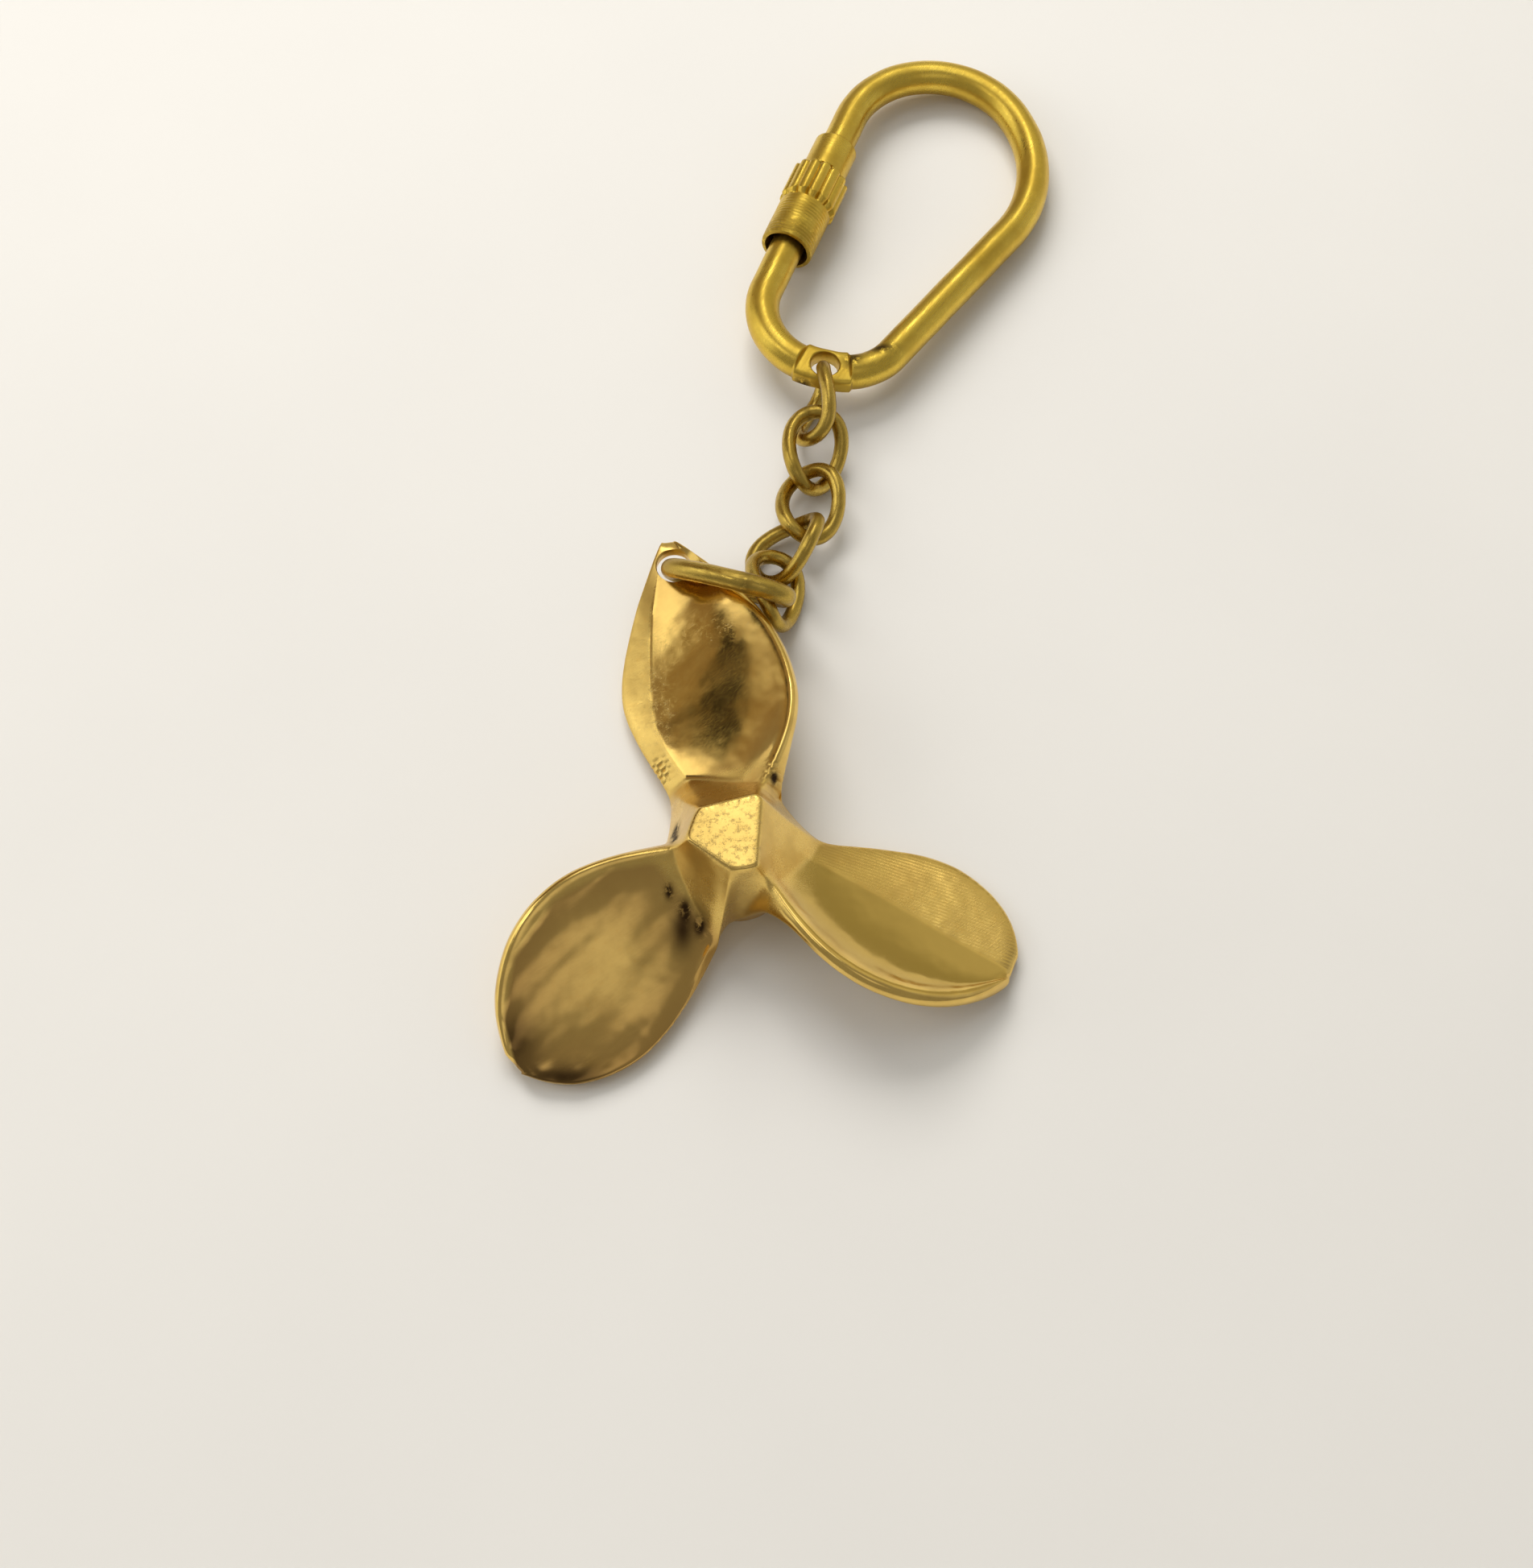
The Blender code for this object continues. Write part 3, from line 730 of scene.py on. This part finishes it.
# Painted brown reflection, towards the edges of blades a and b
PAINTED_BROWN_REFLECTION = (0.56, 0.34, 0.10)
# Painted olive reflection over blade c's hollow face
PAINTED_OLIVE_REFLECTION = (0.62, 0.43, 0.115)
# Colour of the painted dark patches on blade b, mostly a painted dark reflection
PAINTED_DARK = (0.06, 0.03, 0.012)
LINE_PITCH = 0.3
LINE_TURN = 71.0


def worn_brass(name, bright, deep, roughness, grain_turn, grain=0.5, stained=False):
    """Brass with soft changes of colour, fine scratches along and across one direction, and black tarnish.
    A stained one also reads the casting's masks: stains, painted brown and olive reflections, and painted
    dark patches."""
    nodes = Nodes(name)
    shader = nodes.shader
    shader.inputs["Metallic"].default_value = 1.0
    cloud = nodes.noise(0.22, 5.0)
    speckle = nodes.noise(1.6, 6.0, 0.7)
    scratches = nodes.noise((0.5, 9.0, 9.0), 3.0, 0.6, grain_turn)
    crossed = nodes.noise((7.0, 0.35, 7.0), 2.0, 0.6, (grain_turn[0], grain_turn[1], grain_turn[2] + 20.0))

    colour = nodes.mix(nodes.range(cloud, 0.3, 0.75), bright, deep)
    warm = tuple(c * w for c, w in zip(bright, (0.9, 0.74, 0.5)))
    colour = nodes.mix(nodes.range(speckle, 0.5, 0.8, 0.0, 0.35), colour, warm)
    if stained:
        # Painted reflections on the casting: brown towards the edges of blades a and b, olive over blade c's
        # face, dark patches on blade b
        colour = nodes.mix(nodes.mask("painted_brown_reflection"), colour, PAINTED_BROWN_REFLECTION)
        colour = nodes.mix(nodes.mask("painted_olive_reflection"), colour, PAINTED_OLIVE_REFLECTION)
        shade = nodes.maths("MULTIPLY", nodes.mask("painted_dark"), nodes.range(cloud, 0.2, 0.5, 0.75, 0.97))
        colour = nodes.mix(shade, colour, PAINTED_DARK)
    tarnish = nodes.mask("tarnish")
    blotches = nodes.maths("MULTIPLY", tarnish, nodes.range(nodes.noise(1.6, 5.0, 0.7), 0.38, 0.5))
    colour = nodes.mix(blotches, colour, TARNISH)
    if stained:
        mottle = nodes.range(nodes.noise(1.7, 9.0, 0.78), 0.48, 0.78)
        stains = nodes.maths("MULTIPLY", nodes.mask("stained"), mottle)
        colour = nodes.mix(nodes.maths("MULTIPLY", stains, 0.85), colour, STAIN)
    nodes.link(colour, shader.inputs["Base Color"])

    fine = nodes.maths("MULTIPLY", nodes.range(scratches, 0.35, 0.75), 0.5 * grain)
    rough = nodes.maths("ADD", fine, nodes.range(cloud, 0.3, 0.7, roughness, roughness + 0.1))
    rough = nodes.maths("ADD", rough, nodes.maths("MULTIPLY", nodes.mask("brushed"), 0.16))
    rough = nodes.maths("ADD", rough, nodes.maths("MULTIPLY", blotches, 0.35))
    if stained:
        rough = nodes.maths("ADD", rough, nodes.maths("MULTIPLY", stains, 0.3))
    nodes.link(rough, shader.inputs["Roughness"])

    normal = nodes.bump(speckle, 0.02 + 0.14 * grain, 0.03)
    normal = nodes.bump(scratches, 0.22 * grain + 0.01, 0.02, normal)
    normal = nodes.bump(crossed, 0.01 + 0.08 * grain, 0.015, normal)
    brushed = nodes.maths("MULTIPLY", nodes.mask("brushed"), scratches)
    normal = nodes.bump(brushed, 0.35, 0.05, normal)
    if stained:
        lines = nodes.maths("MULTIPLY", nodes.mask("lined"), nodes.ripples(LINE_PITCH, LINE_TURN))
        normal = nodes.bump(lines, 0.35, 0.02, normal)
        normal = nodes.bump(stains, 0.3, 0.03, normal)
    nodes.link(normal, shader.inputs["Normal"])
    return nodes.material


# Propeller


def blade_axes(name, points):
    """Distances outwards and anticlockwise in the blade's own axes."""
    turn = math.radians(BLADES[name]["azimuth"])
    out = points[:, 0] * math.cos(turn) + points[:, 1] * math.sin(turn)
    across = -points[:, 0] * math.sin(turn) + points[:, 1] * math.cos(turn)
    return out, across


def build_propeller(material):
    cage = propeller_cage(material)
    smooth = cage.modifiers.new("smooth", "SUBSURF")
    smooth.levels = smooth.render_levels = SUBDIVISIONS
    propeller = applied(cage)
    file_grooves(propeller)
    for height, size, seed in CAST_WAVES:
        roughen(propeller, height, size, seed)
    streak(propeller, STREAK_HEIGHT)

    out, across = HOLE_PLACE
    turn = math.radians(BLADES["a"]["azimuth"])
    place = (
        out * math.cos(turn) - across * math.sin(turn),
        out * math.sin(turn) + across * math.cos(turn),
        0.0,
    )
    cut(propeller, chamfer_drill(place, HOLE_DIAMETER, HOLE_LOW, HOLE_HIGH, CHAMFER))
    propeller.data.set_sharp_from_angle(angle=math.radians(SHARP_ANGLE))
    paint_propeller(propeller)
    return propeller


def streak(propeller, amount):
    """Long shallow waves left by polishing, which run slantwise across the blades."""
    points, normals = coordinates(propeller)
    wave = np.array([noise.noise(Vector((0.42 * (x - y), 0.13 * (x + y), 0.1 * z))) for x, y, z in points])
    share = sum(part * blade_face(name, points, normals, name == "b") for name, part in STREAKED_BLADES)
    move_points(propeller, points + (amount * wave * share)[:, None] * normals)


def file_grooves(propeller):
    """Short grooves left by a file across the edges of the lug blade's neck."""
    points, normals = coordinates(propeller)
    out, _ = blade_axes("a", points)
    teeth = np.maximum(0.0, np.sin(2 * math.pi * out / FILE_PITCH))
    depth = sum(bump_at(points, place, FILE_MARK_SIZE) for place in FILE_MARKS)
    move_points(propeller, points - (FILE_DEPTH * depth * teeth)[:, None] * normals)


def blade_line(name, line, out):
    """How far anticlockwise one of the blade's long lines runs, at each distance outwards."""
    places = BLADES[name][line]
    return np.interp(out, [p[0] for p in places], [p[1] for p in places])


def blade_face(name, points, normals, past_crease):
    """1 on the blade's hollow face, and on the facet past its crease if asked, but 0 on the raised rim."""
    out, across = blade_axes(name, points)
    face = np.clip((across - blade_line(name, "raised", out) - RIM_WIDTH + 0.4) / 0.5, 0, 1)
    face = face * np.clip((out - FACE_START[name]) / 0.8, 0, 1)
    face = face * (normals[:, 2] > 0.15) * (np.abs(across) < FACE_REACH)
    if not past_crease:
        face = face * np.clip((blade_line(name, "crease", out) - across) / 0.25, 0, 1)
    return face


def facet_past_crease(name, points, normals):
    out, across = blade_axes(name, points)
    past = np.clip((across - blade_line(name, "crease", out)) / 0.4, 0, 1)
    return past * (out > 6.0) * (np.abs(across) < FACE_REACH) * (normals[:, 2] > 0)


def paint_propeller(propeller):
    """Masks for the casting: brushed and lined facets, painted brown and olive reflections, painted dark
    patches, stains, tarnish.
    """
    points, normals = coordinates(propeller)
    radius = np.hypot(points[:, 0], points[:, 1])
    top = np.clip((points[:, 2] - 9.5) / 0.3, 0, 1) * (radius < 5.5)
    neck = 0.8 * np.clip((7.8 - radius) / 1.5, 0, 1) * (1 - top)
    facet_a = facet_past_crease("a", points, normals)
    facet_c = facet_past_crease("c", points, normals)
    paint(propeller, "brushed", np.maximum(neck, np.maximum(0.8 * facet_a, 0.5 * facet_c)))
    paint(propeller, "lined", facet_c)
    paint(propeller, "stained", np.maximum(top, sum(0.8 * bump_at(points, p, s) for p, s in STAINED_PLACES)))
    # Painted olive reflection over blade c's hollow face
    paint(propeller, "painted_olive_reflection", 0.8 * blade_face("c", points, normals, False))
    # Painted brown reflection, growing towards the edges of blades a and b
    edge_a = edge_share("a", points, (15.0, -1.0), (9.0, 7.0))
    edge_b = edge_share("b", points, (14.0, -0.5), (8.5, 6.0))
    brown_reflection_a = 0.5 * blade_face("a", points, normals, False) * edge_a
    brown_reflection_b = 0.9 * blade_face("b", points, normals, True) * edge_b
    paint(propeller, "painted_brown_reflection", np.maximum(brown_reflection_a, brown_reflection_b))
    # Painted dark patches on blade b's face
    painted_dark = sum(bump_at(points, p, s) for p, s in PAINTED_DARK_PLACES) * blade_face("b", points, normals, True)
    paint(propeller, "painted_dark", painted_dark)
    paint(propeller, "tarnish", sum(1.4 * bump_at(points, p, s) for p, s in TARNISHED_PLACES))


def edge_share(name, points, middle, reach):
    """Least in the middle of the blade's face and most towards its edges."""
    out, across = blade_axes(name, points)
    away = np.hypot((out - middle[0]) / reach[0], (across - middle[1]) / reach[1])
    return np.clip(0.15 + 0.75 * away**1.5, 0, 1)


# Rings and links


def build_ring(name, wire, size, twist, pose, material, seam):
    """The jump ring or a link: round wire with a soldered seam and slight dents."""
    centre, turns = pose
    stations, sides = 220, 32
    line = oval(size[0] - wire, size[1] - wire, twist, stations)
    turn = 2 * math.pi * np.arange(stations) / stations
    nearness = np.exp(-((np.mod(turn - math.radians(seam) + math.pi, 2 * math.pi) - math.pi) / 0.11) ** 2)
    swell = 1.0 - 0.02 * np.cos(2 * turn) ** 2 + 0.035 * nearness
    thickness = wire * swell * WIRE_SHARE
    points, faces = tube(line, thickness, thickness, sides, (0.0, 0.0, 1.0), True)
    turned_by = Euler([math.radians(t) for t in turns]).to_matrix()
    made = mesh_object(name, [turned_by @ Vector(p) + Vector(centre) for p in points], faces, material)
    roughen(made, 0.02, 0.8, seam / 40.0)
    paint(made, "tarnish", np.repeat(nearness, sides) * 0.35 + 0.08)
    paint(made, "brushed", np.full(stations * sides, 0.08))
    return made


# Key ring


def key_ring_stations():
    """Where along the wire its sections stand, and how far along the middle of the eye is."""
    eye = bent_length(KEY_RING_BENDS[:5]) + KEY_RING_BENDS[5] / 2
    total = bent_length(KEY_RING_BENDS)
    steps = set(np.round(np.arange(0.0, total, 0.2), 4)) | {round(total, 4)}
    steps |= {round(s, 4) for s in np.arange(eye - EYE_LENGTH, eye + EYE_LENGTH, 0.06)}
    steps = np.array(sorted(steps))
    return steps[np.append(True, np.diff(steps) > 0.02)], eye


def build_key_ring(material):
    stations, eye = key_ring_stations()
    centres = bent_wire(KEY_RING_HEADING, KEY_RING_BENDS, stations)
    eye_place = bent_wire(KEY_RING_HEADING, KEY_RING_BENDS, [eye])[0]
    centres -= eye_place
    half = EYE_LENGTH / 2
    off_eye = np.clip((np.abs(stations - eye) - half) / 0.28, 0, 1)
    off_eye = off_eye * off_eye * (3 - 2 * off_eye)
    width = EYE_WIDTH + (KEY_RING_WIRE - EYE_WIDTH) * off_eye
    height = EYE_THICKNESS + (KEY_RING_WIRE - EYE_THICKNESS) * off_eye
    roundness = 0.42 + 0.58 * off_eye
    stud = np.clip(1 - stations / THREAD_LENGTH, 0, 1) > 0
    width = np.where(stud, STUD_DIAMETER, width)
    height = np.where(stud, STUD_DIAMETER, height)
    for end in (0, -1):
        width[end] = height[end] = STUD_DIAMETER - 0.5
    sides = 48
    width = width * KEY_RING_WIRE_SHARE
    height = height * KEY_RING_WIRE_SHARE
    points, faces = tube(centres, width, height, sides, (0.0, 0.0, 1.0), False, roundness)
    points = np.array(points)
    turns = (np.arange(sides) + 0.5) / sides
    phase = (stations[:, None] / THREAD_PITCH - turns[None, :]) % 1.0
    depth = THREAD_DEPTH * np.abs(phase * 2 - 1)
    thread = (1 - depth / (STUD_DIAMETER / 2))[:, :, None]
    middle = np.repeat(centres[:, None, :], sides, axis=1)
    rings = points.reshape(len(stations), sides, 3)
    threaded = stud.copy()
    threaded[0] = False
    rings[threaded] = (middle + (rings - middle) * thread)[threaded]
    placed = key_ring_plane()
    ring = mesh_object("key_ring_wire", [placed @ Vector(p) for p in rings.reshape(-1, 3)], faces, material)
    roughen(ring, 0.03, 2.5, 3.0)
    axis = placed.to_3x3() @ Vector((0.0, 0.0, 1.0))
    half_thick = EYE_THICKNESS / 2
    cut(ring, chamfer_drill(KEY_RING_EYE, EYE_HOLE_DIAMETER, -half_thick, half_thick, CHAMFER, axis))
    ring.data.shade_smooth()
    points, _ = coordinates(ring)
    flat = np.exp(-((np.linalg.norm(points - np.array(KEY_RING_EYE), axis=1) / 2.4) ** 4))
    paint(ring, "brushed", 0.12 + 0.3 * flat)
    paint(ring, "tarnish", 0.06 + sum(0.9 * bump_at(points, p, s) for p, s in RING_TARNISH))
    return ring


def build_sleeve(material):
    """A turned tube with fine rings on its lower part and a fluted gripping band."""
    mouth_radius, band_radius, neck_radius = (d / 2 for d in SLEEVE_DIAMETERS)
    wide_bore, narrow_bore = (d / 2 for d in SLEEVE_BORES)
    tube_end, band_end = SLEEVE_STEPS
    profile = [(0.0, wide_bore), (0.0, mouth_radius - 0.18)]
    profile += [(0.06, mouth_radius - 0.06), (0.18, mouth_radius)]
    profile += [(s, mouth_radius) for s in np.linspace(0.25, tube_end - 0.3, 90)]
    profile += [(s, band_radius) for s in np.linspace(tube_end - 0.25, band_end + 0.35, 60)]
    profile += [(s, neck_radius) for s in np.linspace(band_end + 0.45, SLEEVE_LENGTH - 0.15, 40)]
    profile += [(SLEEVE_LENGTH, neck_radius - 0.15), (SLEEVE_LENGTH, narrow_bore)]
    profile += [(tube_end + 0.6, narrow_bore), (tube_end, wide_bore)]

    def change(along, radius, turn):
        ridge = abs(math.cos(turn * FLUTES / 2))
        if radius == mouth_radius:
            groove = 0.5 - 0.5 * math.cos(2 * math.pi * along / TURNED_PITCH)
            return -TURNED_DEPTH * groove * (0.6 + 0.4 * math.sin(along * 2.3))
        if radius == band_radius:
            low_edge = tube_end + 0.05 + 0.35 * (1 - ridge)
            high_edge = band_end + 0.05 - 0.25 * (1 - ridge)
            below = max(0.0, min(1.0, (low_edge + 0.25 - along) / 0.5))
            above = max(0.0, min(1.0, (along - high_edge + 0.1) / 0.4))
            flute = -FLUTE_DEPTH * (1 - ridge) ** 1.5
            return flute - below * (band_radius - mouth_radius + 0.05) - above * (band_radius - neck_radius)
        return 0.0

    mouth, along = sleeve_frame()
    points, faces = turned(profile, FLUTES * SIDES_TO_A_FLUTE, mouth, along, change)
    sleeve = mesh_object("gate_sleeve", points, faces, material)
    sleeve.data.set_sharp_from_angle(angle=math.radians(50))
    roughen(sleeve, 0.012, 1.4, 7.0)
    count = len(sleeve.data.vertices)
    paint(sleeve, "brushed", np.full(count, 0.1))
    points, _ = coordinates(sleeve)
    paint(sleeve, "tarnish", 0.06 + 0.8 * bump_at(points, tuple(mouth), (2.4, 2.4, 2.4)))
    return sleeve


def sleeve_frame():
    """Place and direction of the sleeve's axis at its mouth, towards the far end of the ring."""
    _, eye = key_ring_stations()
    eye_place = bent_wire(KEY_RING_HEADING, KEY_RING_BENDS, [eye])[0]
    heading = math.radians(KEY_RING_HEADING)
    along = np.array([math.cos(heading), math.sin(heading), 0.0])
    mouth = -(GATE_GAP + SLEEVE_BELOW_GATE) * along - eye_place
    placed = key_ring_plane()
    return placed @ Vector(mouth), (placed.to_3x3() @ Vector(along)).normalized()


# Camera, floor and light


def add_camera():
    camera = bpy.data.objects.new("camera", bpy.data.cameras.new("camera"))
    bpy.context.scene.collection.objects.link(camera)
    camera.location = Vector(CAMERA_PLACE) * MM
    camera.rotation_euler = (math.radians(90 - CAMERA_ELEVATION), 0.0, 0.0)
    camera.data.lens = CAMERA_LENS
    camera.data.clip_start = 0.005
    bpy.context.scene.camera = camera


def add_floor():
    nodes = Nodes("pale_floor")
    tint = nodes.mix(nodes.noise(0.02, 3.0), (0.80, 0.79, 0.77), (0.74, 0.73, 0.715))
    nodes.link(tint, nodes.shader.inputs["Base Color"])
    nodes.shader.inputs["Roughness"].default_value = 0.6
    half = FLOOR_SIZE / 2
    corners = [(-half, -half, FLOOR_Z), (half, -half, FLOOR_Z), (half, half, FLOOR_Z), (-half, half, FLOOR_Z)]
    mesh_object("floor", corners, [(0, 1, 2, 3)], nodes.material)


def add_panel(name, towards, distance, size, power, colour=(1.0, 0.97, 0.92)):
    """A large soft light facing the object. It lights the floor but has no mirror image in the metal."""
    light = bpy.data.lights.new(name, "AREA")
    light.shape = "RECTANGLE"
    light.size, light.size_y = (s * MM for s in size)
    light.energy = power
    light.color = colour
    obj = bpy.data.objects.new(name, light)
    direction = Vector(towards).normalized()
    obj.location = direction * distance * MM + Vector((0.0, 0.02, 0.0))
    obj.rotation_euler = direction.to_track_quat("Z", "Y").to_euler()
    obj.visible_glossy = False
    bpy.context.scene.collection.objects.link(obj)


def add_world():
    """A room whose walls and lights show as soft patches in the polished metal."""
    world = bpy.data.worlds.new("room")
    world.use_nodes = True
    bpy.context.scene.world = world
    tree = world.node_tree
    where = tree.nodes.new("ShaderNodeTexCoord").outputs["Generated"]
    background = tree.nodes["Background"]
    colour = None
    for direction, full, gone, patch in ROOM_LIGHT:
        dot = tree.nodes.new("ShaderNodeVectorMath")
        dot.operation = "DOT_PRODUCT"
        dot.inputs[1].default_value = Vector(direction).normalized()
        tree.links.new(where, dot.inputs[0])
        share = tree.nodes.new("ShaderNodeMapRange")
        share.interpolation_type = "SMOOTHSTEP"
        share.inputs["From Min"].default_value = math.cos(math.radians(gone))
        share.inputs["From Max"].default_value = math.cos(math.radians(full))
        tree.links.new(dot.outputs["Value"], share.inputs["Value"])
        mix = tree.nodes.new("ShaderNodeMix")
        mix.data_type = "RGBA"
        mix.inputs[6].default_value = (*ROOM_BASE, 1.0)
        mix.inputs[7].default_value = (*patch, 1.0)
        tree.links.new(share.outputs["Result"], mix.inputs["Factor"])
        if colour:
            tree.links.new(colour, mix.inputs[6])
        colour = mix.outputs[2]
    tree.links.new(colour, background.inputs["Color"])


def dress(piece, node):
    """The piece stands for the CAD node and moves with its body."""
    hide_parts(node)
    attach(piece, node)


BRIGHT = (0.86, 0.60, 0.17)
DEEP = (0.66, 0.44, 0.12)
OLIVE = (0.62, 0.43, 0.09)
OLIVE_DEEP = (0.44, 0.29, 0.05)
RING_BRIGHT = (0.82, 0.58, 0.09)
RING_DEEP = (0.68, 0.45, 0.06)

cast = worn_brass("polished_cast_brass", BRIGHT, DEEP, 0.10, (0, 0, 35), 0.12, True)
dress(build_propeller(cast), "propeller")
ring_brass = worn_brass("jump_ring_worn_brass", OLIVE, OLIVE_DEEP, 0.17, (0, 0, -20), 0.4)
jump_ring = build_ring(
    "jump_ring_wire", JUMP_RING_WIRE, JUMP_RING_SIZE, 0.0, JUMP_RING_POSE, ring_brass, JUMP_RING_SEAM
)
dress(jump_ring, "jump_ring")
link_brass = worn_brass("link_worn_brass", OLIVE, OLIVE_DEEP, 0.16, (0, 0, 70), 0.3)
for name, pose in LINKS.items():
    link = build_ring(name + "_wire", LINK_WIRE, LINK_SIZE, LINK_TWIST, pose, link_brass, LINK_SEAM)
    dress(link, name)
key_ring_brass = worn_brass("key_ring_worn_brass", RING_BRIGHT, RING_DEEP, 0.19, (0, 0, 60), 0.3)
dress(build_key_ring(key_ring_brass), "key_ring")
sleeve_brass = worn_brass("sleeve_turned_brass", RING_BRIGHT, RING_DEEP, 0.19, (0, 0, -22), 0.3)
dress(build_sleeve(sleeve_brass), "sleeve")

add_floor()
add_world()
add_panel("window", (-0.25, 0.85, 0.75), 620.0, (420.0, 300.0), 3.1)
add_panel("side_window", (-0.95, 0.05, 0.42), 520.0, (300.0, 240.0), 0.5)
add_camera()
bpy.context.scene.view_settings.view_transform = "Standard"
